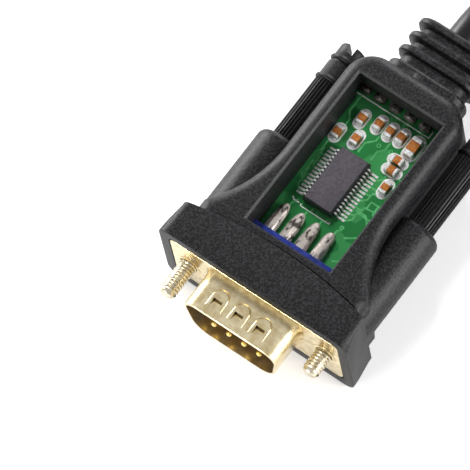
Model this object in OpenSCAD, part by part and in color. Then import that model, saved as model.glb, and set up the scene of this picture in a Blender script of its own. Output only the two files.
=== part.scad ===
// USB to serial adapter cable: a 9-way D connector in a moulded hood with a windowed
// circuit bay, two captive thumbscrews, a strain relief and a cable that ends in a USB-A plug.
// X runs across the connector, +Y from the connector to the cable, +Z up.
// The origin is the middle of the connector flange's front face.

/* [Serial connector] */
// How much wider than the shell's inside the two jackscrew axes stand apart
screws_over_shell = 8.07; // [7.9:0.01:8.3]
// How far the flange reaches beyond each jackscrew axis
flange_ear = 2.91; // [2.7:0.01:3.1]
// Height of the connector flange
flange_h = 12.55; // [12.2:0.05:12.9]
// Width inside the plug shell, at its wide side
shell_w = 16.92; // [16.6:0.02:17.2]
// Height inside the plug shell
shell_h = 8.36; // [8.1:0.02:8.5]
// Wall of the drawn shell
shell_wall = 0.45; // [0.4:0.05:0.5]
// How far the shell stands out of the flange
shell_depth = 6.2; // [5.8:0.1:6.4]
// Sheet thickness of both flange plates
plate_t = 0.5; // [0.4:0.05:0.6]
// Thickness of the insulator's own flange, between the plates
insulator_flange_t = 1; // [0.8:0.1:1.2]
// Distance between neighbouring contacts in a row
pin_pitch = 2.77; // [2.74:0.01:2.8]
// Distance between the two rows of contacts
row_spacing = 2.84; // [2.8:0.02:2.9]
// Diameter of a contact pin
pin_d = 1.02; // [0.98:0.02:1.06]
// How far the pins stand out of the flange's front face
pin_reach = 5.5; // [5:0.1:5.7]
// Diameter of a solder cup
cup_d = 1.16; // [1.1:0.02:1.18]
// Length of a solder cup behind the insulator
cup_l = 3.8; // [3:0.1:4.2]
// Reach of the insulator behind the flange's front face
insulator_l = 10.7; // [10.3:0.1:10.8]

/* [Hood] */
// How far the front block reaches beyond each end of the flange
block_over_flange = 1.875; // [1.6:0.025:2.6]
// How far the front block rises above the flange, and reaches below it
block_above_flange = 2.145; // [1.9:0.005:2.7]
// Depth of the front block at its middle
block_d = 7.4; // [7:0.1:8]
// How far the block's rear edge is set forward at its sides
block_bow = 2; // [1.6:0.1:2.4]
// Width of the body behind the block
body_w = 20.4; // [20:0.1:21]
// Height of the body's top face above the connector's middle
body_top = 7.05; // [6.8:0.05:7.4]
// Place of the body's rear face
body_end = 41.8; // [41.4:0.1:43]
// Radius of the body's rear corners in plan
body_corner_r = 4.6; // [4:0.1:5]
// Radius of the body's rim, between top and sides
rim_r = 2.1; // [1.6:0.1:2.4]
// Width of the window
window_w = 15.3; // [14.8:0.1:15.6]
// Place of the window's near edge
window_start = 8.95; // [8.8:0.05:9.3]
// Place of the window's far edge
window_end = 37.4; // [36.5:0.1:37.6]
// Radius of the barrels that guide the thumbscrews
lug_r = 3.95; // [3.85:0.05:4.1]
// Place of the barrels' rear ends
lug_end = 23.8; // [23:0.1:24.5]

/* [Thumbscrews] */
// Diameter of the jackscrew's thread
thread_d = 2.84; // [2.8:0.02:2.88]
// Distance from the screw's tip to the end of its thread
thread_l = 3.4; // [3.2:0.1:3.6]
// Diameter of the jackscrew's shank
shank_d = 2.5; // [2.3:0.05:2.6]
// Length of the thumbscrew from its tip to the slotted end
screw_l = 47.3; // [46.5:0.1:48]
// How far the left screw stands out of the flange
left_out = 5.9; // [3.8:0.1:6]
// How far the right screw stands out of the flange
right_out = 4; // [3.8:0.1:6]
// Diameter over the grip's ribs
grip_d = 4.6; // [4.4:0.05:4.8]
// Number of ribs round the grip
rib_count = 26; // [20:1:30]
// Diameter of the grip's collars
collar_d = 5.2; // [5:0.05:5.3]
// Width of the screwdriver slot
slot_w = 1.4; // [1:0.1:1.6]
// Depth of the screwdriver slot
slot_depth = 1.6; // [1.2:0.1:2]

/* [Circuit board] */
// Width of the circuit board
board_w = 16.7; // [16:0.1:16.8]
// Thickness of the circuit board
board_t = 1.6; // [1.55:0.01:1.62]
// Place of the board's rear edge
board_end = 38.8; // [38.4:0.1:38.8]
// Width of the converter chip's body
chip_w = 5.3; // [5:0.1:5.6]
// Length of the converter chip's body
chip_l = 10.2; // [9.9:0.1:10.5]
// Height of the converter chip's body
chip_h = 1.75; // [1.6:0.05:1.9]
// Distance between neighbouring chip leads
lead_pitch = 0.65; // [0.63:0.01:0.66]
// Length of a small chip capacitor
cap_l = 2; // [1.8:0.1:2.1]
// Width of a small chip capacitor
cap_w = 1.2; // [1:0.05:1.25]
// Height of a chip capacitor
cap_h = 0.9; // [0.7:0.05:1.1]

/* [Cable] */
// Diameter of the cable
cable_d = 5.4; // [5.2:0.1:5.5]
// Width of the strain relief
relief_w = 14; // [13.6:0.1:14.4]
// Height of the strain relief
relief_h = 7; // [6.8:0.1:7.4]
// Place of the strain relief's rear end
relief_end = 51.6; // [51.4:0.1:52]

/* [USB plug] */
// Width of the plug's metal shell
usb_w = 12; // [11.9:0.05:12.1]
// Height of the plug's metal shell
usb_h = 4.5; // [4.4:0.05:4.6]
// How far the metal shell stands out of the grip
usb_reach = 12; // [11.7:0.1:12.4]
// Wall of the metal shell
usb_wall = 0.3; // [0.25:0.05:0.35]
// Width of the moulded grip
plug_w = 15.8; // [15:0.1:16.5]
// Height of the moulded grip
plug_h = 8.2; // [7.8:0.1:8.6]
// Length of the moulded grip
plug_l = 22; // [20:0.5:24]
// Length of the plug's tapered boot
boot_l = 11; // [9:0.5:13]

/* [Hidden] */
$fn = 48;

// Clearances
slip = 0.1;
hair = 0.02;
through = 1;

// Connector
screw_spacing = shell_w + screws_over_shell;
screw_x = screw_spacing / 2;
flange_w = screw_spacing + 2 * flange_ear;
stack_t = 2 * plate_t + insulator_flange_t;
d_slope = tan(10);
d_corner = 2.6;
can_w = shell_w + 1.28;
can_h = shell_h + 1.24;
can_wall = 0.4;
can_end = 6.8;
tail_w = shell_w + 0.28;
tail_h = shell_h - 2.16;
insulator_flange = [shell_w + 3.48, flange_h - 1.15];
insulator_corner_r = 2;
insulator_nose = 0.6;
eyelet_bore_r = thread_d / 2 + 0.12;
eyelet_r = eyelet_bore_r + 0.32;
eyelet_collar_r = eyelet_r + 0.5;
eyelet_collar_t = 0.3;
root_fillet = 0.7;
// Each pressed arch: its width, its inner width, its straight part and its rise
arch_w = 2.6;
arch_gap = 1.3;
arch_l = 1.75;
arch_rise = 0.25;
arch_pitch = 3.9;
arch_start = 1.55;
arch_depth = 0.22;

// Hood
block_w = flange_w + 2 * block_over_flange;
block_h = flange_h + 2 * block_above_flange;
base_z = -block_h / 2;
// The body's base stands this little clear of the block's
body_base = base_z + 0.05;
block_corner_r = 2;
block_draft = 0.9;
flare_r = 21.8;
flare_end = 22;
base_edge = 1;
bow_r = (pow(block_w / 2, 2) + pow(block_bow, 2)) / (2 * block_bow);
step_groove_w = 0.5;
step_groove_depth = 0.6;
window_chamfer = 0.35;
pocket_gap = 0.15;
channel_r = collar_d / 2 + 0.35;
lug_edge_r = 1.2;
sleeve_bore_r = grip_d / 2 + 0.3;
sleeve_bore_start = 13;
shank_bore_r = thread_d / 2 + 0.18;
near_wall = 7.3;
slot_z = board_t / 2 + 0.08;
slot_x = board_w / 2 + slip;
underbay_w = 14.8;
underbay_floor = -4.4;
pad_bay_end = 39.6;
wire_bay_w = 11.2;
wire_bay_low = -2.9;
wire_bay_top = 3.2;
wire_bay_end = 40.5;
rear_bore_r = 4.05;

// Circuit board
board_start = insulator_l + 0.3;
board_top = board_t / 2;
stand_off = 0.1;
chip_at = [-1.65, 22.7];
shifter_at = [0, 24];
lead_count = 14;
lead_w = 0.3;
lead_t = 0.16;
lead_reach = 1.2;
big_cap = [3.2, 1.6, 1.1];
small_cap = [cap_l, cap_w, cap_h];
end_share = 0.24;
end_skin = 0.03;
// Place of each capacitor and whether it is turned across the board
small_caps = [
    [-4.8, 33.3, 0], [-6.6, 29.45, 0], [-3.56, 30.1, 0], [-2.1, 34, 0], [0, 33.95, 0],
    [1.95, 34.1, 0], [4.75, 26.1, 0], [3.7, 30.7, 1], [3.85, 28.95, 1]];
big_caps = [[4.4, 33.7, 0]];
pump_caps = [[-5.6, 17.4, 0], [5.6, 17.4, 0], [-5.8, 31, 0], [5.8, 31, 0]];
solder_r = 1.05;
solder_l = 4.6;
pad_pitch = 2.77;
pad_y = 37.1;
pad_x0 = -7.2;
pad_r = 1.15;

// Thumbscrews, with each length measured from the screw's tip
tip_chamfer = 0.4;
shank_end = 36;
grip_start = 20.5;
ribs_end = 40.2;
collar = [40.6, 41.2, 41.5];
drum_end = 43.9;
head_collar = [44.3, 44.8, 45.1];
head_chamfer = 0.7;
rib_depth = 0.3;

// Cable
cable_r = cable_d / 2;
relief_start = body_end + 0.05;
relief_corner_r = 3.2;
tongue_r = 4;
groove_w = 12.2;
groove_h = 5.4;
ridge_starts = [44.95, 47.6, 50.05];
ridge_l = 1.4;
ridge_taper = 0.9;
base_section_end = 43.7;
cable_sides = 10;
wire_r = 0.45;
wire_sides = 8;
// The cable's own route from the strain relief down to the coil
cable_route = [
    [0, relief_end, 0], [0, relief_end + 1.4, 0], [0, 55.5, -0.25], [0, 59, -1.2], [0, 64, -3.1],
    [0, 70, -4.6], [0, 76.7, -5.4]];
// The route from the coil up and over its turns to the plug
tail_route = [
    [64.8, 76.7, 0], [64.32, 72.17, 1.2], [62.92, 67.83, 2.55], [60.18, 63.28, 4.05],
    [56.42, 59.52, 5], [51.17, 56.49, 5.55], [44.52, 54.95, 5.7], [36.99, 55.74, 5.85],
    [30.19, 59.06, 6.2], [25.1, 63.77, 6.75], [23.34, 65.53, 6.86], [19.81, 69.06, 6.86]];
coil_at = [32.4, 76.7];
coil_outer_r = 35.1;
coil_inner_r = 18.9;
coil_lift = 0.32;
coil_z = base_z + coil_lift;
coil_h = 2 * cable_d;
tie_t = 0.3;
tie_angle = 12;
tie_at = 45;

// USB plug, which lies across the coil's turns
plug_at = [19.81, 69.06, coil_z + coil_h + plug_h / 2 + 0.06];
plug_turn = 45;
boot_r_front = 3.9;
boot_ribs = 4;
plug_corner_r = 2;
tongue_w = 11.1;
tongue_h = 1.9;
contact_w = 1;
contact_l = 7.4;
contact_t = 0.2;
contact_x = [-3.5, -1, 1, 3.5];
latch_w = 2.2;

// Points along a rounded corner from the side of p0 to the side of p2
function unit(v) = v / norm(v);
function corner(p0, p1, p2, r, n) =
    let (a = unit(p0 - p1), b = unit(p2 - p1), half = acos(a * b) / 2,
         c = p1 + unit(a + b) * r / sin(half),
         s = p1 + a * r / tan(half) - c, e = p1 + b * r / tan(half) - c,
         turn = atan2(s[0] * e[1] - s[1] * e[0], s * e))
    [for (i = [0:n]) let (t = turn * i / n)
        c + [s[0] * cos(t) - s[1] * sin(t), s[0] * sin(t) + s[1] * cos(t)]];
// A convex outline with its corners rounded to radius r
function rounded(pts, r, n = 5) =
    let (m = len(pts))
    [for (k = [0:m - 1]) each corner(pts[(k + m - 1) % m], pts[k], pts[(k + 1) % m], r, n)];
function box_points(w, h) = [[-w / 2, -h / 2], [w / 2, -h / 2], [w / 2, h / 2], [-w / 2, h / 2]];
// The D outline, wide side up, w across its wide side
function d_points(w, h) = [
    [-w / 2 + h * d_slope, -h / 2], [w / 2 - h * d_slope, -h / 2], [w / 2, h / 2], [-w / 2, h / 2]];

// A solid swept along a route, with a ring of n sides at each point
function tangent(p, i) = unit(p[min(i + 1, len(p) - 1)] - p[max(i - 1, 0)]);
function side(t) = unit(cross(t, [0, 0, 1]));
module sweep(p, r, n) {
    m = len(p);
    rings = [for (i = [0:m - 1]) let (t = tangent(p, i), u = side(t), v = cross(u, t))
        for (k = [0:n - 1]) p[i] + r * (u * cos(360 * k / n) + v * sin(360 * k / n))];
    walls = [for (i = [0:m - 2], k = [0:n - 1])
        let (a = i * n + k, b = i * n + (k + 1) % n)
        each [[a, a + n, b + n], [a, b + n, b]]];
    polyhedron(rings, concat(walls, [[for (k = [0:n - 1]) k]],
        [[for (k = [n - 1:-1:0]) (m - 1) * n + k]]));
}

// An extrusion along +Y of an XZ outline, from y0 to y1
module along_y(y0, y1) {
    translate([0, y1, 0]) rotate([90, 0, 0]) linear_extrude(y1 - y0) children();
}
module bore_y(x, r, y0, y1) {
    translate([x, y0, 0]) rotate([-90, 0, 0]) cylinder(r = r, h = y1 - y0);
}
module at_screws() {
    for (s = [-1, 1]) translate([s * screw_x, 0, 0]) children();
}

// Half of the body's outline in plan, from the front on the +X side to the rear
function flare(n = 10) =
    let (cx = body_w / 2 + flare_r, a1 = acos((cx - block_w / 2 + 2.2) / flare_r))
    [for (i = [0:n]) let (a = a1 * (1 - i / n)) [cx - flare_r * cos(a), flare_end - flare_r * sin(a)]];
function rear_corner(n = 6) =
    [for (i = [0:n]) let (a = 90 * i / n)
        [body_w / 2 - body_corner_r * (1 - cos(a)), body_end - body_corner_r * (1 - sin(a))]];
function half_plan() = concat([[flare()[0][0], 3.6]], flare(), rear_corner());
function plan() = let (h = half_plan(), n = len(h))
    concat(h, [for (i = [n - 1:-1:0]) [-h[i][0], h[i][1]]]);
// The outline moved in by d, corner by corner
function inset(pts, d) = let (m = len(pts))
    [for (k = [0:m - 1])
        let (a = unit(pts[k] - pts[(k + m - 1) % m]), b = unit(pts[(k + 1) % m] - pts[k]),
             na = [-a[1], a[0]], nb = [-b[1], b[0]], s = na + nb)
        pts[k] + s * d / (1 + na * nb)];
// Height and inset of step i of n round the rim
function rim(i, n) = let (a = 90 * i / n)
    [body_top - rim_r * (1 - sin(a)), rim_r * (1 - cos(a))];
// Each level of the body, which runs past its flat base and top
function body_levels(n = 4) = concat(
    [[body_base - 0.3, base_edge + 0.6], [body_base + 0.3, 0.4], [body_base + base_edge, 0]],
    [for (i = [0:n - 1]) rim(i, n)], [2 * rim(n, n) - rim(n - 1, n)]);
// A solid with a copy of the outline at each level, given as [height, inset]
module loft(levels, outline) {
    m = len(outline);
    points = [for (l = levels) each [for (p = inset(outline, l[1])) [p[0], p[1], l[0]]]];
    walls = [for (i = [0:len(levels) - 2], k = [0:m - 1])
        let (a = i * m + k, b = i * m + (k + 1) % m)
        each [[a, b + m, b], [a, a + m, b + m]]];
    top = (len(levels) - 1) * m;
    polyhedron(points, concat(walls, [[for (k = [0:m - 1]) k]],
        [[for (k = [m - 1:-1:0]) top + k]]));
}
module body_form() {
    intersection() {
        loft(body_levels(), plan());
        translate([-block_w, 0, body_base])
            cube([2 * block_w, body_end + through, body_top - body_base]);
    }
}

// The block's bowed rear edge in plan, moved back by d
function bow(d, half, n = 16) = [for (i = [0:n]) let (x = half * (1 - 2 * i / n))
    [x, block_d + d - bow_r + sqrt(bow_r * bow_r - x * x)]];
// The front block: a rounded section with drafted sides and a bowed rear edge
module block_form() {
    h = block_w / 2;
    back = h - block_draft;
    intersection() {
        along_y(0, block_d + through)
            polygon(rounded(box_points(block_w, block_h), block_corner_r));
        translate([0, 0, base_z - through]) linear_extrude(block_h + 2 * through)
            polygon(concat([[-back, 5], [-h, 0], [-h, -through], [h, -through], [h, 0], [back, 5]],
                bow(0, back)));
    }
}
// One barrel that guides a thumbscrew, with a rounded rear edge
module lug_form() {
    rotate([-90, 0, 0]) rotate_extrude() polygon(concat(
        [[0, 3], [lug_r, 3]],
        [for (i = [0:5]) let (a = 90 * i / 5)
            [lug_r - lug_edge_r * (1 - cos(a)), lug_end - lug_edge_r * (1 - sin(a))]],
        [[0, lug_end]]));
}
// The groove that lines the step behind the block
module step_groove() {
    translate([0, 0, body_top - step_groove_depth]) linear_extrude(3)
        polygon(concat([[-block_w / 2, 4], [block_w / 2, 4]], bow(step_groove_w, block_w / 2)));
}
// The window, with a bevel along its top edge
module window_cut() {
    l = window_end - window_start;
    c = window_chamfer;
    translate([0, window_start + l / 2, 0])
        loft([[slot_z - hair, 0], [body_top - c, 0], [body_top + through, -c - through]],
            box_points(window_w, l));
}
module hood() {
    color("#2e2e30") difference() {
        union() {
            difference() {
                body_form();
                at_screws() bore_y(0, channel_r, lug_end - 2, body_end + through);
                step_groove();
            }
            block_form();
            at_screws() lug_form();
        }
        // Seat of the flange stack
        along_y(-through, stack_t)
            polygon(rounded(box_points(flange_w + 2 * pocket_gap, flange_h + 2 * pocket_gap), 1));
        // Room for the rear shell and the insulator's tail
        along_y(stack_t - hair, near_wall)
            square([can_w + 2 * can_wall + 0.6, can_h + 2 * can_wall + 0.6], center = true);
        along_y(near_wall - hair, insulator_l + 0.15)
            square([tail_w + 2 * slip, tail_h + 2 * slip], center = true);
        // Board slot, the bay below it and the room for the conductors
        along_y(window_start, board_end + slip)
            square([2 * slot_x, 2 * slot_z], center = true);
        translate([-underbay_w / 2, window_start, underbay_floor])
            cube([underbay_w, board_end + slip - window_start, -underbay_floor]);
        translate([-slot_x, pad_y - pad_r - slip, 0])
            cube([2 * slot_x, pad_bay_end - pad_y + pad_r + slip, wire_bay_top]);
        translate([-wire_bay_w / 2, window_end - through, wire_bay_low])
            cube([wire_bay_w, wire_bay_end - window_end + through, wire_bay_top - wire_bay_low]);
        window_cut();
        bore_y(0, rear_bore_r, wire_bay_end - through, body_end + through);
        // Bores of the thumbscrews
        at_screws() {
            bore_y(0, shank_bore_r, stack_t - through, sleeve_bore_start + through);
            bore_y(0, eyelet_collar_r + slip, stack_t - through, stack_t + eyelet_collar_t + slip);
            bore_y(0, sleeve_bore_r, sleeve_bore_start, lug_end + through);
        }
    }
}

module relief_section(w, h) {
    polygon(rounded(box_points(w, h), relief_corner_r * h / relief_h));
}
module strain_relief() {
    color("#333335") difference() {
        union() {
            bore_y(0, tongue_r, wire_bay_end, base_section_end);
            along_y(relief_start, base_section_end) relief_section(relief_w, relief_h);
            along_y(base_section_end - hair, relief_end - ridge_l) relief_section(groove_w, groove_h);
            for (y = ridge_starts) {
                last = y == ridge_starts[2];
                l = last ? relief_end - y : ridge_l;
                translate([0, y, 0]) rotate([-90, 0, 0])
                    linear_extrude(l, scale = [1 - ridge_taper / relief_w * 2,
                        1 - ridge_taper / relief_h]) relief_section(relief_w, relief_h);
            }
        }
        bore_y(0, cable_r + hair, wire_bay_end - through, relief_end + through);
    }
}
module cable_entry() {
    color("#151516") bore_y(0, cable_r, wire_bay_end, relief_end);
}

module flange_plate(y) {
    along_y(y, y + plate_t) difference() {
        polygon(rounded(box_points(flange_w, flange_h), 1));
        at_screws() circle(r = eyelet_r + hair);
    }
}
module d_prism(w, h, y0, y1) {
    along_y(y0, y1) polygon(rounded(d_points(w, h), min(d_corner, h / 2 - 0.4)));
}
// The pressed arches across one face of the shell, each open towards the mouth
module at_arches(z, count) {
    for (i = [0:count - 1])
        translate([(i - (count - 1) / 2) * arch_pitch, arch_start - shell_depth, z]) children();
}
module tab(w, y0, y1) {
    translate([-w / 2, y0]) square([w, y1 - y0]);
    translate([0, y1]) circle(d = w);
}
module arches(z, count) {
    at_arches(z, count) linear_extrude(2 * arch_rise, center = true) difference() {
        tab(arch_w, 0, arch_l);
        tab(arch_gap, -through, arch_l);
    }
}
module arch_hollows(z, count) {
    at_arches(z, count) translate([-arch_gap / 2, 0.1, -arch_depth])
        cube([arch_gap, arch_l, 2 * arch_depth]);
}
module dsub_front_shell() {
    top = shell_h / 2 + shell_wall;
    color("#d9c58c") difference() {
        union() {
            flange_plate(0);
            d_prism(shell_w + 2 * shell_wall, shell_h + 2 * shell_wall, -shell_depth, hair);
            d_prism(shell_w + 2 * shell_wall + root_fillet, shell_h + 2 * shell_wall + root_fillet,
                -root_fillet / 2, hair);
            arches(top, 3);
            arches(-top, 2);
        }
        d_prism(shell_w, shell_h, -shell_depth - through, plate_t + through);
        arch_hollows(top, 3);
        arch_hollows(-top, 2);
    }
}
module dsub_rear_shell() {
    color("#c9b98a") difference() {
        union() {
            flange_plate(plate_t + insulator_flange_t);
            d_prism(can_w + 2 * can_wall, can_h + 2 * can_wall, stack_t - hair, can_end);
        }
        d_prism(can_w + 2 * hair, can_h + 2 * hair, 0, can_end + through);
    }
}
module dsub_insulator() {
    color("#3f4fa0") difference() {
        union() {
            d_prism(shell_w - slip, shell_h - slip, -insulator_nose, plate_t + hair);
            along_y(plate_t, plate_t + insulator_flange_t)
                polygon(rounded(box_points(insulator_flange[0], insulator_flange[1]), insulator_corner_r));
            d_prism(can_w, can_h, plate_t + insulator_flange_t - hair, can_end);
            along_y(can_end - hair, insulator_l) square([tail_w, tail_h], center = true);
        }
        for (x = pin_columns(5)) pin_hole(x, row_spacing / 2);
        for (x = pin_columns(4)) pin_hole(x, -row_spacing / 2);
    }
}
function pin_columns(n) = [for (i = [0:n - 1]) (i - (n - 1) / 2) * pin_pitch];
module pin_hole(x, z) {
    translate([0, 0, z]) bore_y(x, pin_d / 2 + hair, -through, insulator_l + through);
}
// One contact: a round-nosed pin and, where it is wired, a solder cup behind it
module contact(x, z, wired) {
    r = pin_d / 2;
    nose = 0.4;
    tail = wired ? insulator_l : insulator_l - 0.4;
    translate([x, 0, z]) rotate([-90, 0, 0]) difference() {
        union() {
            rotate_extrude() polygon([[0, -pin_reach], [r * 0.5, -pin_reach],
                [r, -pin_reach + nose], [r, tail], [0, tail]]);
            if (wired) translate([0, 0, insulator_l]) cylinder(d = cup_d, h = cup_l);
        }
        if (wired) translate([0, 0, insulator_l + 1]) cylinder(r = 0.36, h = cup_l);
    }
}
module upper_pins() {
    columns = pin_columns(5);
    color("#e2cf95") for (i = [0:4]) contact(columns[i], row_spacing / 2, i < 4);
}
module lower_pins() {
    color("#e2cf95") for (x = pin_columns(4)) contact(x, -row_spacing / 2, true);
}
module flange_eyelets() {
    color("#cdbb88") at_screws() difference() {
        union() {
            bore_y(0, eyelet_r, 0, stack_t);
            bore_y(0, eyelet_collar_r, stack_t, stack_t + eyelet_collar_t);
        }
        bore_y(0, eyelet_bore_r, -through, stack_t + through);
    }
}

module pcb() {
    color("#2f7a45") translate([-board_w / 2, board_start, -board_t / 2])
        cube([board_w, board_end - board_start, board_t]);
}
// A chip's body with bevelled long edges, standing on z = 0 at the origin
module chip_body() {
    b = 0.35;
    waist = chip_h * 0.45;
    translate([0, 0, stand_off]) along_y(-chip_l / 2, chip_l / 2) polygon([
        [-chip_w / 2 + b / 2, 0], [chip_w / 2 - b / 2, 0], [chip_w / 2, waist],
        [chip_w / 2 - b, chip_h], [-chip_w / 2 + b, chip_h], [-chip_w / 2, waist]]);
}
// The gull-wing leads of both sides of a chip
module chip_leads() {
    x0 = chip_w / 2;
    x1 = x0 + 0.35;
    x2 = x0 + 0.5;
    x3 = x0 + lead_reach;
    z1 = stand_off + chip_h * 0.45;
    t = lead_t;
    for (s = [0, 1], i = [0:lead_count - 1]) mirror([s, 0, 0])
        along_y((i - (lead_count - 1) / 2) * lead_pitch - lead_w / 2,
            (i - (lead_count - 1) / 2) * lead_pitch + lead_w / 2)
            polygon([[x0, z1], [x1, z1], [x2 + 0.12, t], [x3, t], [x3, 0], [x2, 0],
                [x1 - 0.12, z1 - t], [x0, z1 - t]]);
}
module on_board(at) {
    translate([at[0], at[1], board_top]) children();
}
module under_board(at) {
    translate([at[0], at[1], -board_top]) mirror([0, 0, 1]) children();
}
module converter_chip() {
    color("#4a4850") on_board(chip_at) chip_body();
}
module converter_chip_leads() {
    color("#d6d6d6") on_board(chip_at) chip_leads();
}
module level_shifter_chip() {
    color("#2b2b2e") under_board(shifter_at) chip_body();
}
module level_shifter_leads() {
    color("#d6d6d6") under_board(shifter_at) chip_leads();
}
// The ceramic middle of a chip capacitor of size [length, width, height]
module cap_middle(size, turned) {
    l = size[0] * (1 - 2 * end_share);
    rotate(turned ? 0 : 90) translate([-l / 2, -size[1] / 2, end_skin]) cube([l, size[1], size[2]]);
}
module cap_caps(size, turned) {
    l = size[0] * end_share;
    for (s = [-1, 1]) rotate(turned ? 0 : 90)
        translate([s * (size[0] / 2 - l / 2) - l / 2, -size[1] / 2 - end_skin, 0])
            cube([l, size[1] + 2 * end_skin, size[2] + 2 * end_skin]);
}
module capacitor_bodies() {
    color("#b97a4a") {
        for (c = small_caps) on_board(c) cap_middle(small_cap, c[2] == 1);
        for (c = big_caps) on_board(c) cap_middle(big_cap, c[2] == 1);
    }
}
module capacitor_ends() {
    color("#cfcfd2") {
        for (c = small_caps) on_board(c) cap_caps(small_cap, c[2] == 1);
        for (c = big_caps) on_board(c) cap_caps(big_cap, c[2] == 1);
    }
}
module pump_capacitor_bodies() {
    color("#b97a4a") for (c = pump_caps) under_board(c) cap_middle(small_cap, false);
}
module pump_capacitor_ends() {
    color("#cfcfd2") for (c = pump_caps) under_board(c) cap_caps(small_cap, false);
}
// A lump of solder that joins one cup to the board; s is 1 above and -1 below
module solder_lump(x, s) {
    y0 = board_start + 0.2;
    difference() {
        translate([x, y0 + solder_r, s * row_spacing / 2]) {
            sphere(r = solder_r);
            rotate([-90, 0, 0]) cylinder(r = solder_r, h = solder_l - 2 * solder_r);
            translate([0, solder_l - 2 * solder_r, 0]) sphere(r = solder_r);
        }
        translate([x - 2, y0 - 1, s > 0 ? board_top - 3 : -board_top])
            cube([4, solder_l + 2, 3]);
        translate([0, 0, s * row_spacing / 2])
            bore_y(x, cup_d / 2 + hair, board_start - 1, insulator_l + cup_l + hair);
    }
}
module connector_solder() {
    upper = pin_columns(5);
    color("#c9c6c0") {
        for (i = [0:3]) solder_lump(upper[i], 1);
        for (x = pin_columns(4)) solder_lump(x, -1);
    }
}
function pad_x(i) = pad_x0 + i * pad_pitch;
module cable_solder() {
    color("#8f8d88") for (i = [0:4]) difference() {
        translate([pad_x(i), pad_y, board_top - 0.25]) sphere(r = pad_r);
        translate([pad_x(i) - 2, pad_y - 2, board_top - 3]) cube([4, 4, 3]);
        translate([0, 0, wire_z]) bore_y(pad_x(i), wire_r + hair, pad_y - 0.3, pad_y + 2);
    }
}
// Each conductor runs from its pad, over the board's end and into the jacket
function wire_route(i) = let (x = pad_x(i), e = wire_ends[i]) [
    [x, pad_y - 0.2, wire_z], [x, pad_y + 0.7, wire_z], [x * 0.97 + e[0] * 0.03, pad_y + 1, wire_z + 0.1],
    [x * 0.55 + e[0] * 0.45, pad_y + 1.75, wire_over[i]],
    [x * 0.12 + e[0] * 0.88, pad_y + 2.45, (e[1] + wire_over[i]) / 2],
    [e[0], wire_bay_end - 0.4, e[1]], [e[0], wire_bay_end - hair, e[1]]];
wire_z = 1.45;
wire_over = [2.7, 1.32, 1.9, 1.4, 2.2];
wire_ends = [[-1.5, 1.2], [-1.25, -0.95], [0, 1.6], [0.8, -0.9], [1.5, 0.9]];
module conductor(i, paint) {
    color(paint) sweep(wire_route(i), wire_r, wire_sides);
}
module conductor_red() { conductor(0, "#b02020"); }
module conductor_white() { conductor(1, "#e8e8e4"); }
module conductor_green() { conductor(2, "#2a8a45"); }
module conductor_black() { conductor(3, "#1a1a1a"); }
module drain_wire() { conductor(4, "#b8b4ac"); }

// Thumbscrews: a steel jackscrew with a moulded grip on it, placed by its tip
module jackscrew(x, out) {
    r = thread_d / 2;
    s = shank_d / 2;
    translate([x, -out, 0]) rotate([-90, 0, 0]) rotate_extrude() polygon([
        [0, 0], [r - tip_chamfer, 0], [r, tip_chamfer], [r, thread_l], [s, thread_l + r - s],
        [s, shank_end], [0, shank_end]]);
}
module grip(x, out) {
    r = grip_d / 2;
    c = collar_d / 2;
    root = r - rib_depth;
    ribs = [for (i = [0:rib_count - 1], k = [0:3])
        let (a = 360 * (i + [0, 0.3, 0.5, 0.8][k]) / rib_count, q = k < 2 ? r : root)
        [q * cos(a), q * sin(a)]];
    translate([x, -out, 0]) difference() {
        union() {
            along_y(grip_start, ribs_end) polygon(ribs);
            rotate([-90, 0, 0]) rotate_extrude() polygon([
                [0, ribs_end - 0.2], [root, ribs_end - 0.2], [root, collar[0]], [c, collar[0]],
                [c, collar[1]], [c - 0.3, collar[2]], [r, collar[2]], [r, drum_end], [root, drum_end],
                [root, head_collar[0]], [c - 0.1, head_collar[0]], [c - 0.1, head_collar[1]],
                [c - 0.35, head_collar[2]], [r - 0.1, head_collar[2]],
                [r - 0.15, screw_l - head_chamfer], [r - 0.8, screw_l], [0, screw_l]]);
        }
        bore_y(0, shank_d / 2 + hair, grip_start - through, shank_end + hair);
        translate([-slot_w / 2, screw_l - slot_depth, -collar_d])
            cube([slot_w, slot_depth + through, 2 * collar_d]);
    }
}
module left_jackscrew() { color("#c9c4b4") jackscrew(-screw_x, left_out); }
module right_jackscrew() { color("#c9c4b4") jackscrew(screw_x, right_out); }
module left_grip() { color("#2a2a2c") grip(-screw_x, left_out); }
module right_grip() { color("#2a2a2c") grip(screw_x, right_out); }

module cable() { color("#151516") sweep(cable_route, cable_r, cable_sides); }
module cable_tail() { color("#151516") sweep(tail_route, cable_r, cable_sides); }
function coil_section(g) = rounded([
    [coil_inner_r - g, coil_z - g], [coil_outer_r + g, coil_z - g],
    [coil_outer_r + g, coil_z + coil_h + g], [coil_inner_r - g, coil_z + coil_h + g]],
    cable_r, 4);
module cable_coil() {
    color("#151516") translate(coil_at) rotate_extrude($fn = 72) polygon(coil_section(0));
}
module cable_tie() {
    color("#3a3a3c") translate(coil_at) rotate(tie_at - tie_angle / 2)
        rotate_extrude(angle = tie_angle, $fn = 72) difference() {
            polygon(coil_section(tie_t));
            polygon(coil_section(hair));
        }
}

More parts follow.
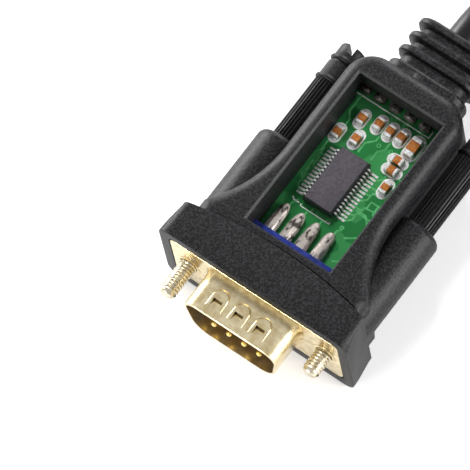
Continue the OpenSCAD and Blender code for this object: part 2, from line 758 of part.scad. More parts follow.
// The USB plug's pieces are drawn along +Y with the cable's end at the origin
module at_plug() {
    translate(plug_at) rotate(plug_turn) children();
}
module usb_boot() {
    color("#2a2a2c") at_plug() difference() {
        union() {
            rotate([-90, 0, 0]) rotate_extrude() polygon([
                [0, 0], [cable_r + 0.7, 0], [cable_r + 0.7, 0.8], [boot_r_front - 0.8, boot_l],
                [0, boot_l]]);
            for (i = [0:boot_ribs - 1])
                bore_y(0, cable_r + 1 + 0.12 * i, 1.2 + 2.4 * i, 2.6 + 2.4 * i);
        }
        bore_y(0, cable_r - 0.4, boot_l - 1, boot_l + through);
    }
}
module usb_grip() {
    color("#2e2e30") at_plug() difference() {
        intersection() {
            along_y(boot_l, boot_l + plug_l)
                polygon(rounded(box_points(plug_w, plug_h), plug_corner_r));
            translate([0, 0, -plug_h]) linear_extrude(2 * plug_h) polygon(rounded([
                [-plug_w / 2 + 3, boot_l], [plug_w / 2 - 3, boot_l], [plug_w / 2, boot_l + 6],
                [plug_w / 2, boot_l + plug_l], [-plug_w / 2, boot_l + plug_l],
                [-plug_w / 2, boot_l + 6]], 1));
        }
        along_y(boot_l + plug_l - 8, boot_l + plug_l + through)
            square([usb_w + 2 * hair, usb_h + 2 * hair], center = true);
    }
}
module usb_shell() {
    end = boot_l + plug_l + usb_reach;
    color("#c8c8ca") at_plug() difference() {
        along_y(boot_l + plug_l - 8, end) polygon(rounded(box_points(usb_w, usb_h), 0.5));
        along_y(boot_l + plug_l - 7.6, end + through)
            polygon(rounded(box_points(usb_w - 2 * usb_wall, usb_h - 2 * usb_wall), 0.3));
        for (x = [-usb_w / 4 + 0.1, usb_w / 4 - 0.1], z = [-usb_h / 2, usb_h / 2])
            translate([x, end - 5.2 - latch_w / 2, z]) cube([latch_w, latch_w, 1.2], center = true);
    }
}
module usb_tongue() {
    end = boot_l + plug_l + usb_reach;
    color("#1d1d1f") at_plug() difference() {
        union() {
            translate([-tongue_w / 2, boot_l + plug_l - 7.5, usb_h / 2 - usb_wall - hair - tongue_h])
                cube([tongue_w, usb_reach + 7.3, tongue_h]);
            translate([-tongue_w / 2, boot_l + plug_l - 7.5, -usb_h / 2 + usb_wall + hair])
                cube([tongue_w, 6, usb_h - 2 * usb_wall - 2 * hair]);
        }
        for (x = contact_x) translate([x - contact_w / 2, end - 1 - contact_l,
            usb_h / 2 - usb_wall - hair - tongue_h - hair])
            cube([contact_w, contact_l, contact_t + hair]);
    }
}
module usb_contacts() {
    end = boot_l + plug_l + usb_reach;
    color("#d9c58c") at_plug() for (x = contact_x)
        translate([x - contact_w / 2, end - 1 - contact_l, usb_h / 2 - usb_wall - hair - tongue_h])
            cube([contact_w, contact_l, contact_t]);
}

hood();
strain_relief();
dsub_front_shell();
dsub_rear_shell();
dsub_insulator();
upper_pins();
lower_pins();
flange_eyelets();
pcb();
converter_chip();
converter_chip_leads();
capacitor_bodies();
capacitor_ends();
connector_solder();
cable_solder();
level_shifter_chip();
level_shifter_leads();
pump_capacitor_bodies();
pump_capacitor_ends();
conductor_red();
conductor_white();
conductor_green();
conductor_black();
drain_wire();
cable_entry();
left_jackscrew();
right_jackscrew();
left_grip();
right_grip();
cable();
cable_coil();
cable_tie();
cable_tail();
usb_boot();
usb_grip();
usb_shell();
usb_tongue();
usb_contacts();
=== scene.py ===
"""Dresses a USB to serial adapter cable: moulded hood, plated connector, circuit bay,
thumbscrews, coiled cable and USB plug. Shapes are worked in millimetres in the part's own
frame, and each mesh is scaled to metres as its last step."""

import math

import bmesh
import bpy
from mathutils import Matrix, Vector, noise


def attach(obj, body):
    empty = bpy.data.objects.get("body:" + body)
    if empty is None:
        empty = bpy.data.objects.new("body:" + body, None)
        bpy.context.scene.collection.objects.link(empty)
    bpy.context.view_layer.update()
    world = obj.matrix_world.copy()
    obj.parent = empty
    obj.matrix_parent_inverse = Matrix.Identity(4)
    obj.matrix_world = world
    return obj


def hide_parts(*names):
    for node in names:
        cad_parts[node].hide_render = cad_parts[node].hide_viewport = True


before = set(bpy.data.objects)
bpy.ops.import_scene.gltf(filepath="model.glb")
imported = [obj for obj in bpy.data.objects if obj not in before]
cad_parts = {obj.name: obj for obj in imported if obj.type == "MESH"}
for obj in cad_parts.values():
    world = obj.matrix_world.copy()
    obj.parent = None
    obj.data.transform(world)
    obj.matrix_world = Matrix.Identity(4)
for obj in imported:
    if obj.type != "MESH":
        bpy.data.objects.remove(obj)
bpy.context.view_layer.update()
MM = 0.001
TABLE_Z = -8.42
SCREW_X = 12.495
BODY_TOP = 7.05
BOARD_TOP = 0.8


# Colours and materials


def linear(hex_colour):
    """An sRGB hex colour as linear RGBA."""
    channels = [int(hex_colour[i : i + 2], 16) / 255 for i in (1, 3, 5)]
    return [c / 12.92 if c <= 0.04045 else ((c + 0.055) / 1.055) ** 2.4 for c in channels] + [1]


def add(tree, kind, settings=None, **links):
    """A node with its settings. A link's name is its input, with _ for a space."""
    node = tree.nodes.new(kind)
    for key, value in (settings or {}).items():
        if key in node.inputs:
            node.inputs[key].default_value = value
        else:
            setattr(node, key, value)
    for name, source in links.items():
        socket = node.inputs[int(name[1:])] if name[1:].isdigit() else node.inputs[name.replace("_", " ")]
        tree.links.new(source, socket)
    return node


def surface(name, colour, roughness, metallic=0.0, **more):
    """A new material with its shader's plain values set, and its tree and shader."""
    material = bpy.data.materials.new(name)
    material.use_nodes = True
    tree = material.node_tree
    shader = tree.nodes["Principled BSDF"]
    shader.inputs["Base Color"].default_value = linear(colour)
    shader.inputs["Roughness"].default_value = roughness
    shader.inputs["Metallic"].default_value = metallic
    for key, value in more.items():
        shader.inputs[key.replace("_", " ")].default_value = value
    return material, tree, shader


def grain(tree, size_mm, detail=2.0, stretch=(1, 1, 1)):
    """Noise on the piece's own coordinates, with spots about size_mm across."""
    place = add(tree, "ShaderNodeTexCoord")
    mapped = add(tree, "ShaderNodeMapping", {"Scale": stretch}, Vector=place.outputs["Object"])
    return add(tree, "ShaderNodeTexNoise", {"Scale": 0.6 / (size_mm * MM), "Detail": detail},
               Vector=mapped.outputs["Vector"])


def tinted(tree, shader, factor, dark, light, low=0.35, high=0.65):
    """Colours the shader between two hex colours as factor goes from low to high."""
    ramp = add(tree, "ShaderNodeValToRGB", Fac=factor)
    ramp.color_ramp.elements[0].position = low
    ramp.color_ramp.elements[0].color = linear(dark)
    ramp.color_ramp.elements[1].position = high
    ramp.color_ramp.elements[1].color = linear(light)
    tree.links.new(ramp.outputs["Color"], shader.inputs["Base Color"])
    return ramp


def roughened(tree, shader, height, strength, depth_mm):
    bump = add(tree, "ShaderNodeBump", {"Strength": strength, "Distance": depth_mm * MM}, Height=height)
    tree.links.new(bump.outputs["Normal"], shader.inputs["Normal"])


def moulded_abs(name, dark, light, grit_mm=0.2, roughness=0.46):
    """Moulded ABS from a spark-eroded tool: dark, with a fine even grit that dulls its gloss.
    The real grit is about 0.1 mm and is drawn coarser so that it shows."""
    material, tree, shader = surface(name, dark, roughness, IOR=1.5, Specular_IOR_Level=0.22)
    grit = grain(tree, grit_mm, 3.0)
    tinted(tree, shader, grit.outputs["Fac"], dark, light, 0.42, 0.64)
    roughened(tree, shader, grit.outputs["Fac"], 0.6, 0.05)
    return material


def smooth_plastic(name, colour, light, roughness=0.45, size_mm=1.5):
    """Moulded plastic from a polished tool, with faint cloudy variation."""
    material, tree, shader = surface(name, colour, roughness, IOR=1.5, Specular_IOR_Level=0.3)
    cloud = grain(tree, size_mm)
    tinted(tree, shader, cloud.outputs["Fac"], colour, light)
    roughened(tree, shader, cloud.outputs["Fac"], 0.15, 0.02)
    return material


def plated_metal(name, dark, light, roughness, size_mm=0.8, dent_mm=0.01, stretch=(1, 1, 1), metallic=1.0):
    """Thin plating over drawn or turned metal: bright, with slight waves and tone."""
    material, tree, shader = surface(name, light, roughness, metallic)
    wave = grain(tree, size_mm, 3.0, stretch)
    tinted(tree, shader, wave.outputs["Fac"], dark, light)
    roughened(tree, shader, wave.outputs["Fac"], 0.3, dent_mm)
    return material


def frozen_solder(name, dark, light, low, high):
    """Solder that froze uneven, with dark flux spots between its bright patches."""
    material, tree, shader = surface(name, light, 0.4, 0.35)
    spots = grain(tree, 0.5, 2.0, (1, 0.6, 1))
    tinted(tree, shader, spots.outputs["Fac"], dark, light, low, high)
    roughened(tree, shader, spots.outputs["Fac"], 0.5, 0.12)
    return material


def solder_mask():
    """Green epoxy solder mask over glass laminate: glossy, mottled where copper lies below."""
    material, tree, shader = surface("green_solder_mask", "#2f7a45", 0.55, IOR=1.5, Specular_IOR_Level=0.2)
    copper = grain(tree, 2.2, 1.0)
    ramp = tinted(tree, shader, copper.outputs["Fac"], "#2f8547", "#46a05c", 0.49, 0.53)
    fine = grain(tree, 0.25, 2.0)
    roughened(tree, shader, fine.outputs["Fac"], 0.2, 0.01)
    return material


hood_abs = moulded_abs("hood_spark_eroded_abs", "#09090a", "#2a2a2c")
relief_pvc = moulded_abs("relief_moulded_pvc", "#0a0a0b", "#2c2c2e", 0.22, 0.44)
grip_abs = moulded_abs("thumb_grip_abs", "#0d0d0e", "#242426", 0.22, 0.4)
usb_pvc = moulded_abs("usb_plug_pvc", "#151516", "#303032", 0.28, 0.5)
jacket_pvc = smooth_plastic("cable_jacket_pvc", "#050506", "#0c0c0d", 0.36, 3.0)
gold_plate = plated_metal("pale_gold_plated_steel", "#d3bf92", "#eee0ba", 0.27)
gold_contact = plated_metal("gold_plated_brass", "#dcb95c", "#f3d98c", 0.2, 0.5)
screw_nickel = plated_metal("turned_nickel_steel", "#b9ad92", "#e2dac4", 0.26, 0.4)
usb_nickel = plated_metal("nickel_plated_shell", "#97989c", "#c3c4c8", 0.3, 1.0, 0.008, (1, 0.15, 1))
tin_plate = plated_metal("tinned_terminal", "#d2d0ce", "#ffffff", 0.36, 0.3, 0.01, (1, 1, 1), 0.3)
solder_alloy = frozen_solder("tin_lead_solder", "#46403c", "#cfc5bd", 0.36, 0.47)
# The cable's solder lumps are coloured darker as painted shade, for the shade under the window's far wall
shade_darkened_solder = frozen_solder("solder_with_painted_shade", "#2b2826", "#6d6863", 0.4, 0.6)
insulator_pbt = smooth_plastic("blue_glass_filled_pbt", "#1a2668", "#2a3a8c", 0.6, 0.6)
board_mask = solder_mask()
chip_epoxy = smooth_plastic("moulded_epoxy", "#4e4a50", "#5c585e", 0.5, 0.25)
capacitor_ceramic = smooth_plastic("fired_ceramic", "#a9622a", "#c88145", 0.42, 0.3)
legend_ink = smooth_plastic("white_legend_ink", "#f8faf6", "#ffffff", 0.6, 0.3)
mask_over_track = smooth_plastic("mask_over_track", "#4cab63", "#66c07a", 0.34, 0.4)
carrier_pbt = smooth_plastic("black_contact_carrier", "#141416", "#202023", 0.4, 0.6)
wire_red = smooth_plastic("red_wire_insulation", "#a81f1f", "#c23030", 0.4)
wire_white = smooth_plastic("white_wire_insulation", "#d9d9d4", "#f0f0ec", 0.4)
wire_green = smooth_plastic("green_wire_insulation", "#1f7a3a", "#329150", 0.4)
wire_black = smooth_plastic("black_wire_insulation", "#141414", "#232323", 0.4)


# Shaping helpers, all in millimetres


def polygon(bm, points):
    """One face through the points."""
    return bm.faces.new([bm.verts.new(p) for p in points])


def round_corners(bm, radius, segments=8):
    """Rounds every corner of a lone flat outline."""
    bmesh.ops.bevel(bm, geom=bm.verts[:], offset=radius, offset_type="OFFSET", segments=segments,
                    profile=0.5, affect="VERTICES", material=-1)


def rectangle_xz(width, height, y=0.0):
    w, h = width / 2, height / 2
    return [(-w, y, -h), (w, y, -h), (w, y, h), (-w, y, h)]


def d_outline(width, height, y=0.0):
    """The connector's D, wide side up, with ten-degree flanks."""
    w, h = width / 2, height / 2
    lower = w - height * math.tan(math.radians(10))
    return [(-lower, y, -h), (lower, y, -h), (w, y, h), (-w, y, h)]


def stretch_face(bm, face, move):
    """Extrudes a face by a vector and returns the new end face."""
    made = bmesh.ops.extrude_face_region(bm, geom=[face])["geom"]
    end = next(g for g in made if isinstance(g, bmesh.types.BMFace))
    bmesh.ops.translate(bm, vec=move, verts=end.verts[:])
    return end


def shrink_face(bm, face, thickness, depth):
    """Insets a face evenly and moves it along its normal."""
    face.normal_update()
    bmesh.ops.inset_region(bm, faces=[face], thickness=thickness, depth=depth, use_even_offset=True)
    return face


def level_face(face, level):
    """Sets a flat face at an exact height, as exact cuts across it need."""
    for v in face.verts:
        v.co.z = level


def prism(points, move, radius=0.0, segments=8, edge=0.0, edge_segments=3):
    """A closed prism on a flat outline, with rounded corners and softened end edges."""
    bm = bmesh.new()
    polygon(bm, points)
    if radius:
        round_corners(bm, radius, segments)
    bm.faces.ensure_lookup_table()
    start = bm.faces[0]
    end = stretch_face(bm, start, Vector(move))
    bmesh.ops.recalc_face_normals(bm, faces=bm.faces[:])
    if edge:
        ends = [f for f in bm.faces if len(f.verts) > 4 or abs(f.normal.dot(Vector(move).normalized())) > 0.9]
        rims = {e for f in ends for e in f.edges}
        bmesh.ops.bevel(bm, geom=list(rims), offset=edge, offset_type="OFFSET", segments=edge_segments,
                        profile=0.5, affect="EDGES", material=-1)
    return bm


def block(low, high, edge=0.0, segments=2):
    """A box between two corners, with every edge softened."""
    bm = bmesh.new()
    bmesh.ops.create_cube(bm, size=1.0)
    low, high = Vector(low), Vector(high)
    bmesh.ops.scale(bm, vec=high - low, verts=bm.verts[:])
    bmesh.ops.translate(bm, vec=(low + high) / 2, verts=bm.verts[:])
    if edge:
        bmesh.ops.bevel(bm, geom=bm.edges[:], offset=edge, offset_type="OFFSET", segments=segments,
                        profile=0.5, affect="EDGES", material=-1)
    return bm


def turned(profile, x=0.0, steps=64, z=0.0):
    """A turned solid about an axis along Y, from [radius, y] points that start and end on it."""
    bm = bmesh.new()
    verts = [bm.verts.new((r, y, 0)) for r, y in profile]
    edges = [bm.edges.new(pair) for pair in zip(verts, verts[1:])]
    bmesh.ops.spin(bm, geom=verts + edges, cent=(0, 0, 0), axis=(0, 1, 0), angle=math.tau,
                   steps=steps, use_merge=True)
    bmesh.ops.remove_doubles(bm, verts=bm.verts[:], dist=1e-4)
    bmesh.ops.recalc_face_normals(bm, faces=bm.faces[:])
    bmesh.ops.translate(bm, vec=(x, 0, z), verts=bm.verts[:])
    return bm


def arc(centre, radius, start, stop, steps):
    """Points on an arc of a turned profile, angles in degrees from the radial direction."""
    return [(centre[0] + radius * math.cos(math.radians(start + (stop - start) * i / steps)),
             centre[1] + radius * math.sin(math.radians(start + (stop - start) * i / steps)))
            for i in range(steps + 1)]


def rod(radius, start, stop, x=0.0, z=0.0, steps=48, edge=0.0):
    if edge:
        profile = ([(0, start)] + arc((radius - edge, start + edge), edge, -90, 0, 4)
                   + arc((radius - edge, stop - edge), edge, 0, 90, 4) + [(0, stop)])
    else:
        profile = [(0, start), (radius, start), (radius, stop), (0, stop)]
    return turned(profile, x, steps, z)


def tube(points, radius, sides=3, closed=False, flatten=1.0):
    """A round line through the points as a mesh. flatten squashes it about its lowest half."""
    curve = bpy.data.curves.new("line", "CURVE")
    curve.dimensions = "3D"
    curve.bevel_depth = radius
    curve.bevel_resolution = sides
    curve.use_fill_caps = not closed
    spline = curve.splines.new("POLY")
    spline.points.add(len(points) - 1)
    for point, place in zip(spline.points, points):
        point.co = (*place, 1)
    spline.use_cyclic_u = closed
    holder = bpy.data.objects.new("line", curve)
    bm = bmesh.new()
    mesh = holder.to_mesh()
    bm.from_mesh(mesh)
    holder.to_mesh_clear()
    bpy.data.objects.remove(holder)
    bpy.data.curves.remove(curve)
    if flatten != 1.0:
        level = points[0][2]
        bmesh.ops.scale(bm, vec=(1, 1, flatten), verts=bm.verts[:],
                        space=Matrix.Translation((0, 0, -level)))
    return bm


def joined(parts):
    """Several meshes laid together in one."""
    whole = bmesh.new()
    for part in parts:
        mesh = bpy.data.meshes.new("part")
        part.to_mesh(mesh)
        whole.from_mesh(mesh)
        bpy.data.meshes.remove(mesh)
        part.free()
    return whole


def moved(bm, x=0.0, y=0.0, z=0.0, turn=0.0):
    """The mesh turned about Z and then moved."""
    bmesh.ops.transform(bm, matrix=Matrix.Translation((x, y, z)) @ Matrix.Rotation(math.radians(turn), 4, "Z"),
                        verts=bm.verts[:])
    return bm


def mirrored(bm, axis):
    """The mesh mirrored through the plane across that axis, facing outwards again."""
    flip = [1, 1, 1]
    flip["XYZ".index(axis)] = -1
    bmesh.ops.scale(bm, vec=flip, verts=bm.verts[:])
    bmesh.ops.recalc_face_normals(bm, faces=bm.faces[:])
    return bm


def carved(base, tools, operation="DIFFERENCE"):
    """The base with each tool cut away, joined or kept in common, by exact booleans."""
    made = []
    for bm in [base, *tools]:
        mesh = bpy.data.meshes.new("work")
        bm.to_mesh(mesh)
        bm.free()
        holder = bpy.data.objects.new("work", mesh)
        bpy.context.collection.objects.link(holder)
        made.append(holder)
    for tool in made[1:]:
        step = made[0].modifiers.new("step", "BOOLEAN")
        step.operation = operation
        step.solver = "EXACT"
        step.object = tool
    result = bmesh.new()
    result.from_object(made[0], bpy.context.evaluated_depsgraph_get())
    for holder in made:
        mesh = holder.data
        bpy.data.objects.remove(holder)
        bpy.data.meshes.remove(mesh)
    return result


def piece(name, bm, body, stands_for, material, smooth=35):
    """The finished mesh in metres, riding on its body in place of its CAD nodes."""
    bmesh.ops.scale(bm, vec=(MM, MM, MM), verts=bm.verts[:])
    mesh = bpy.data.meshes.new(name)
    bm.to_mesh(mesh)
    bm.free()
    mesh.shade_smooth()
    mesh.set_sharp_from_angle(angle=math.radians(smooth))
    mesh.materials.append(material)
    made = bpy.data.objects.new(name, mesh)
    bpy.context.collection.objects.link(made)
    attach(made, body)
    if stands_for:
        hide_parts(*stands_for)
    return made


def refinish(node, material):
    """Gives a CAD node that keeps its own shape its material."""
    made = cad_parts[node]
    made.data.materials.clear()
    made.data.materials.append(material)


# The camera of the photograph, fitted to the connector's known sizes


def photograph_camera():
    azimuth, elevation, roll = math.radians(49.5), math.radians(67.0), math.radians(-13.97)
    distance, scale = 0.9604, 6.7595
    back = Vector((math.sin(azimuth) * math.cos(elevation), -math.cos(azimuth) * math.cos(elevation),
                   math.sin(elevation)))
    right = Vector((0, 0, 1)).cross(back).normalized()
    up = back.cross(right)
    across = math.cos(roll) * right + math.sin(roll) * up
    upright = -math.sin(roll) * right + math.cos(roll) * up
    data = bpy.data.cameras.new("photograph_camera")
    data.type = "PERSP"
    data.sensor_width = 36
    data.lens = scale * distance / MM / 470 * 36
    data.clip_start, data.clip_end = 0.05, 10
    camera = bpy.data.objects.new("photograph_camera", data)
    bpy.context.collection.objects.link(camera)
    turn = Matrix((across, upright, back)).transposed().to_4x4()
    spot = -3.139 * MM * across + 10.937 * MM * upright + distance * back
    camera.matrix_world = Matrix.Translation(spot) @ turn
    bpy.context.scene.camera = camera


photograph_camera()


# The cable: out of the strain relief, down to the table, through the coil and on to the plug

CABLE_D = 5.4
COIL = (32.4, 76.7)
LEAD = [(0, 51.6, 0), (0, 53, 0), (0, 55.5, -0.25), (0, 59, -1.2), (0, 64, -3.1), (0, 70, -4.6),
        (0, 76.7, -5.4)]
TAIL = [(64.8, 76.7, 0), (64.32, 72.17, 1.2), (62.92, 67.83, 2.55), (60.18, 63.28, 4.05),
        (56.42, 59.52, 5.0), (51.17, 56.49, 5.55), (44.52, 54.95, 5.7), (36.99, 55.74, 5.85),
        (30.19, 59.06, 6.2), (25.1, 63.77, 6.75), (23.34, 65.53, 6.86), (19.81, 69.06, 6.86)]
COLUMNS = [32.4, 27.0, 21.6]
LAYERS = [-5.4, 0.0]
TURNS = 5.5


def eased(t):
    t = min(max(t, 0.0), 1.0)
    return t * t * (3 - 2 * t)


def coil_points(per_turn=36):
    """The centreline of the turns: inwards along the lower layer and outwards along the upper.
    Each turn keeps its column, and steps across just before it meets its own start."""
    stops = [(c, 0) for c in (0, 1, 2)] + [(c, 1) for c in (2, 1, 0)]
    points = []
    for i in range(int(TURNS * per_turn) + 1):
        turn = i / per_turn
        step = min(max(round(turn + 0.1), 1), len(stops) - 1)
        share = eased((turn + 0.1 - step) / 0.2 + 0.5)
        (c0, l0), (c1, l1) = stops[step - 1], stops[step]
        radius = COLUMNS[c0] + (COLUMNS[c1] - COLUMNS[c0]) * share
        level = LAYERS[l0] + (LAYERS[l1] - LAYERS[l0]) * share
        if l0 != l1:
            radius -= 1.9 * math.sin(math.pi * share)
        angle = math.pi - math.tau * turn
        points.append((COIL[0] + radius * math.cos(angle), COIL[1] + radius * math.sin(angle), level))
    return points


def smooth_route(points, steps=4):
    """A Catmull-Rom curve through the points, with steps to each stretch."""
    ends = [points[0], *points, points[-1]]
    route = []
    for a, b, c, d in zip(ends, ends[1:], ends[2:], ends[3:]):
        a, b, c, d = map(Vector, (a, b, c, d))
        for i in range(steps):
            t = i / steps
            route.append(0.5 * (2 * b + (c - a) * t + (2 * a - 5 * b + 4 * c - d) * t * t
                                + (3 * b - a - 3 * c + d) * t ** 3))
    return route + [Vector(points[-1])]


def cable_piece():
    route = smooth_route(LEAD)[:-1] + [Vector(p) for p in coil_points()] + smooth_route(TAIL)[1:]
    curve = bpy.data.curves.new("cable_run", "CURVE")
    curve.dimensions = "3D"
    curve.bevel_depth = CABLE_D / 2 * MM
    curve.bevel_resolution = 6
    curve.use_fill_caps = True
    spline = curve.splines.new("POLY")
    spline.points.add(len(route) - 1)
    for point, place in zip(spline.points, route):
        point.co = (*(place * MM), 1)
    spline.use_smooth = True
    curve.materials.append(jacket_pvc)
    run = bpy.data.objects.new("cable_run", curve)
    bpy.context.collection.objects.link(run)
    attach(run, "adapter")
    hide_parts("cable", "cable_coil", "cable_tail")
    return run


cable_run = cable_piece()


# The hood, one moulding

BOW_R = (17.28 ** 2 + 2.0 ** 2) / 4.0


def body_half_plan():
    """The body's outline from the front on the +X side to its rear face, as (x, y)."""
    centre_x, radius = 10.2 + 21.8, 21.8
    turn = math.acos((centre_x - 15.08) / radius)
    flare = [(centre_x - radius * math.cos(turn * (1 - i / 28)), 22 - radius * math.sin(turn * (1 - i / 28)))
             for i in range(29)]
    corner = [(10.2 - 4.6 * (1 - math.cos(math.pi / 2 * i / 12)), 41.8 - 4.6 * (1 - math.sin(math.pi / 2 * i / 12)))
              for i in range(13)]
    return [(15.08, 3.6)] + flare + corner


def hood_body():
    half = body_half_plan()
    plan = half + [(-x, y) for x, y in reversed(half)]
    bm = bmesh.new()
    low = polygon(bm, [(x, y, TABLE_Z + 1.05) for x, y in plan])
    high = stretch_face(bm, low, Vector((0, 0, BODY_TOP - 2.1 - TABLE_Z - 1.05)))
    bmesh.ops.recalc_face_normals(bm, faces=bm.faces[:])
    for thickness, depth, level in [(0.4, 0.7, TABLE_Z + 0.35), (0.6, 0.3, TABLE_Z + 0.05)]:
        level_face(shrink_face(bm, low, thickness, depth), level)
    for i in range(6):
        a, b = math.radians(15 * i), math.radians(15 * i + 15)
        shrink_face(bm, high, 2.1 * (math.cos(a) - math.cos(b)), 2.1 * (math.sin(b) - math.sin(a)))
        level_face(high, BODY_TOP - 2.1 * (1 - math.sin(b)))
    return bm


def bow_line(shift, half, steps=48):
    """The block's bowed rear edge in plan, moved back by shift."""
    return [(half * (1 - 2 * i / steps),
             7.4 + shift - BOW_R + math.sqrt(BOW_R ** 2 - (half * (1 - 2 * i / steps)) ** 2))
            for i in range(steps + 1)]


def hood_block():
    section = prism(rectangle_xz(34.56, 16.84), (0, 9, 0), 2.0, 10)
    back = 16.38
    plan = ([(-back, 5), (-17.28, 0), (-17.28, -1), (17.28, -1), (17.28, 0), (back, 5)] + bow_line(0, back))
    sides = prism([(x, y, -9.5) for x, y in plan], (0, 0, 19))
    bm = carved(section, [sides], "INTERSECT")
    bmesh.ops.remove_doubles(bm, verts=bm.verts[:], dist=1e-4)
    rims = [e for e in bm.edges if len(e.link_faces) == 2 and e.calc_face_angle() > math.radians(50)]
    bmesh.ops.bevel(bm, geom=rims, offset=0.28, offset_type="OFFSET", segments=3, profile=0.5,
                    affect="EDGES", clamp_overlap=True, material=-1)
    return bm


def hood_lug(x):
    return turned([(0, 3), (3.95, 3)] + arc((2.75, 22.6), 1.2, 0, 90, 8) + [(0, 23.8)], x, 96)


def step_groove():
    line = [(-17.28, 4), (17.28, 4)] + bow_line(0.5, 17.28)
    return prism([(x, y, BODY_TOP - 0.6) for x, y in line], (0, 0, 3))


def plan_rectangle(half_x, y0, y1, z):
    return [(-half_x, y0, z), (half_x, y0, z), (half_x, y1, z), (-half_x, y1, z)]


def window_bevel():
    """Cuts the bevel along the window's top edge, deeper than the window's own walls."""
    bm = bmesh.new()
    low = polygon(bm, plan_rectangle(7.5, 9.1, 37.25, BODY_TOP - 0.5))
    high = stretch_face(bm, low, Vector((0, 0, 1.5)))
    for v in high.verts:
        v.co.x += math.copysign(1.5, v.co.x)
        v.co.y += math.copysign(1.5, v.co.y - 23)
    bmesh.ops.recalc_face_normals(bm, faces=bm.faces[:])
    return bm


def make_hood():
    body = carved(hood_body(), [rod(2.95, 21.8, 43, x, steps=64) for x in (-SCREW_X, SCREW_X)] + [step_groove()])
    outside = carved(body, [hood_block(), hood_lug(-SCREW_X), hood_lug(SCREW_X)], "UNION")
    seat = prism(rectangle_xz(31.11, 12.85, -1), (0, 3, 0), 1.0, 6)
    pocket = block((-9.8, 1.98, -5.5), (9.8, 7.3, 5.5))
    passage = block((-8.7, 7.28, -3.2), (8.7, 10.85, 3.2))
    slot = block((-8.45, 8.95, -0.88), (8.45, 38.9, 0.88))
    bay = block((-7.4, 8.95, -4.4), (7.4, 38.9, 0))
    pads = block((-8.45, 35.85, 0), (8.45, 39.6, 3.2))
    wires = block((-5.6, 36.4, -2.9), (5.6, 40.5, 3.2))
    window = prism(plan_rectangle(7.65, 8.95, 37.4, 0.86), (0, 0, 9), 0.25, 4)
    tools = [seat, pocket, passage, slot, bay, pads, wires, window, window_bevel(), rod(4.05, 39.5, 43)]
    for x in (-SCREW_X, SCREW_X):
        tools += [rod(1.6, 1, 14, x), rod(2.46, 1, 2.4, x), rod(2.6, 13, 25, x, steps=64)]
    return piece("moulded_hood", carved(outside, tools), "adapter", ["hood"], hood_abs, 32)


make_hood()


# The strain relief


def relief_ring(bm, face, width, height, y):
    """Extrudes the end face to a ring of that size at y."""
    here = face.calc_center_median().y
    xs = [v.co.x for v in face.verts]
    zs = [v.co.z for v in face.verts]
    end = stretch_face(bm, face, Vector((0, y - here, 0)))
    grow_x = (width - (max(xs) - min(xs))) / 2
    grow_z = (height - (max(zs) - min(zs))) / 2
    for v in end.verts:
        v.co.x += grow_x if v.co.x > 0 else -grow_x
        v.co.z += grow_z if v.co.z > 0 else -grow_z
    return end


def make_strain_relief():
    stations = [(14.0, 7.0, 43.35), (13.7, 6.7, 43.7), (12.3, 5.5, 43.78), (12.2, 5.4, 45.3)]
    ridge = [(13.3, 0.0), (13.8, 0.07), (14.0, 0.2), (14.0, 0.72), (13.85, 0.98), (13.5, 1.17), (13.0, 1.3), (12.4, 1.38)]
    for start in (45.35, 48.0, 50.55):
        stations += [(width, (width - 12.2) / 1.8 * 1.6 + 5.4, start + along) for width, along in ridge]
        stations.append((12.2, 5.4, 52.0) if start > 50 else (12.2, 5.4, start + 2.3))
    bm = bmesh.new()
    polygon(bm, rectangle_xz(13.2, 6.2, 41.85))
    round_corners(bm, 2.9, 12)
    bm.faces.ensure_lookup_table()
    end = relief_ring(bm, relief_ring(bm, bm.faces[0], 13.3, 6.3, 42.0), 14.0, 7.0, 42.2)
    for width, height, y in stations:
        end = relief_ring(bm, end, width, height, y)
    bmesh.ops.recalc_face_normals(bm, faces=bm.faces[:])
    bm = carved(bm, [rod(4.0, 40.5, 43)], "UNION")
    bm = carved(bm, [rod(2.72, 39, 53)])
    piece("ribbed_strain_relief", bm, "adapter", ["strain_relief"], relief_pvc, 28)


make_strain_relief()


# The serial connector


def flange(y0, y1):
    plate = prism(rectangle_xz(30.81, 12.55, y0), (0, y1 - y0, 0), 1.2, 8, 0.12)
    return carved(plate, [rod(1.88, y0 - 1, y1 + 1, x) for x in (-SCREW_X, SCREW_X)])


def d_solid(width, height, y0, y1, radius=2.6, edge=0.0):
    return prism(d_outline(width, height, y0), (0, y1 - y0, 0), radius, 10, edge)


def dimple_plan(x, half, reach, z):
    """A round-ended tongue in plan, from the mouth's side towards the flange."""
    arch = [(x - half * math.cos(math.radians(a)), -2.9 + half * math.sin(math.radians(a)), z)
            for a in range(0, 181, 15)]
    return [(x - half, reach, z)] + arch + [(x + half, reach, z)]


def u_dimple(x, z, side):
    """One pressed arch, open towards the mouth: it stands proud and its legs run out there."""
    near, bend = -4.9, -3.35
    dome = prism(dimple_plan(x, 1.4, near, z - 0.36 * side), (0, 0, 0.66 * side), edge=0.29, edge_segments=5)
    bm = carved(dome, [block((x - 0.8, near - 1, min(z - side, z + side)), (x + 0.8, bend, max(z - side, z + side)))])
    for v in bm.verts:
        if v.co.y < bend:
            v.co.z = z + (v.co.z - z) * (1 - (bend - v.co.y) / (bend - near))
    return bm


def dimple_hollow(x, z, side):
    """The pressed-in tongue between the legs of an arch, deepest at its far end."""
    section = [(-4.9, 0.0), (-3.35, -0.4), (-3.35, 1.0), (-4.9, 1.0)]
    return prism([(x - 0.8, y, z + side * deep) for y, deep in section], (1.6, 0, 0))


